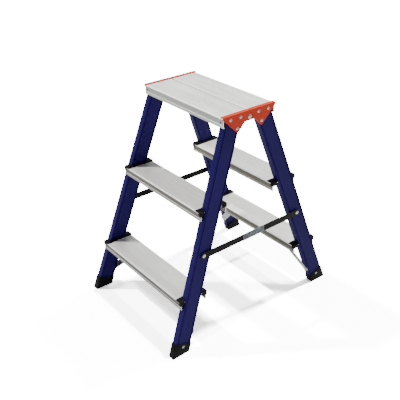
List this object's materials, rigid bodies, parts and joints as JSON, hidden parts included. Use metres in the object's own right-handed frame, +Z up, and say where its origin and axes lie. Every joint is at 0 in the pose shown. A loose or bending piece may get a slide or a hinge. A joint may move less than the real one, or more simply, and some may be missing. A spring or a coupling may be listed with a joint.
{
  "type": "step ladder",
  "caption": "Double-sided folding step ladder: splayed blue stiles, ribbed aluminium treads, hinged platform, hooked side stays and rubber feet.",
  "frame": {"origin": "on the floor under the middle of the platform", "axes": "+Z up, +X to the right along the treads, the front side faces -Y"},
  "size_m": [0.4616, 0.6514, 0.682],
  "materials": {
    "blue_powder_coat": "satin powder coat",
    "orange_coat": "satin powder coat",
    "tread_aluminium": "mill-finished extrusion",
    "black_plastic": "moulded",
    "black_coat": "semi-gloss",
    "zinc_steel": "zinc plated",
    "bright_steel": "bright",
    "dark_steel": "blackened",
    "grey_label": "matt film"
  },
  "bodies": {
    "front_frame": {"front_stile_right": "blue_powder_coat", "front_foot_right": "black_plastic", "front_brace_right": "zinc_steel", "front_lower_cap_right": "black_plastic", "front_upper_cap_right": "black_plastic", "front_hinge_plate_right": "orange_coat", "front_stile_left": "blue_powder_coat", "front_foot_left": "black_plastic", "front_brace_left": "zinc_steel", "front_lower_cap_left": "black_plastic", "front_upper_cap_left": "black_plastic", "front_hinge_plate_left": "orange_coat", "front_tread_lower": "tread_aluminium", "front_tread_upper": "tread_aluminium", "front_platform": "tread_aluminium", "front_plate_rivets": "bright_steel", "front_tread_screws": "dark_steel", "front_foot_rivets": "bright_steel", "front_brace_rivets": "bright_steel", "hinge_pin_right": "bright_steel", "stay_pivot_right": "bright_steel", "hinge_pin_left": "bright_steel", "stay_pivot_left": "bright_steel"},
    "rear_frame": {"rear_stile_right": "blue_powder_coat", "rear_foot_right": "black_plastic", "rear_brace_right": "zinc_steel", "rear_lower_cap_right": "black_plastic", "rear_upper_cap_right": "black_plastic", "rear_hinge_plate_right": "orange_coat", "rear_stile_left": "blue_powder_coat", "rear_foot_left": "black_plastic", "rear_brace_left": "zinc_steel", "rear_lower_cap_left": "black_plastic", "rear_upper_cap_left": "black_plastic", "rear_hinge_plate_left": "orange_coat", "rear_tread_lower": "tread_aluminium", "rear_tread_upper": "tread_aluminium", "rear_platform": "tread_aluminium", "rear_plate_rivets": "bright_steel", "rear_tread_screws": "dark_steel", "rear_foot_rivets": "bright_steel", "rear_brace_rivets": "bright_steel", "stay_stud_right": "bright_steel", "stay_stud_left": "bright_steel"},
    "stay_bar_right": {"stay_right": "black_coat", "stay_hook_end_right": "black_coat", "stay_label_right": "grey_label"},
    "stay_bar_left": {"stay_left": "black_coat", "stay_hook_end_left": "black_coat", "stay_label_left": "grey_label"}
  },
  "joints": [
    {"name": "fold", "type": "hinge", "parent": "front_frame", "child": "rear_frame", "pos_m": [0, 0, 0.662], "axis": [-1, 0, 0], "range_deg": [0, 37]},
    {"name": "stay_lift_right", "type": "hinge", "parent": "front_frame", "child": "stay_bar_right", "pos_m": [0.2097, -0.18777, 0.297], "axis": [1, 0, 0], "range_deg": [0, 66.6]},
    {"name": "stay_lift_left", "type": "hinge", "parent": "front_frame", "child": "stay_bar_left", "pos_m": [-0.2097, -0.18777, 0.297], "axis": [1, 0, 0], "range_deg": [0, 66.6]}
  ],
  "couplings": [
    {"joint": "stay_lift_right", "follows": "fold", "ratio": 1.8},
    {"joint": "stay_lift_left", "follows": "fold", "ratio": 1.8}
  ]
}
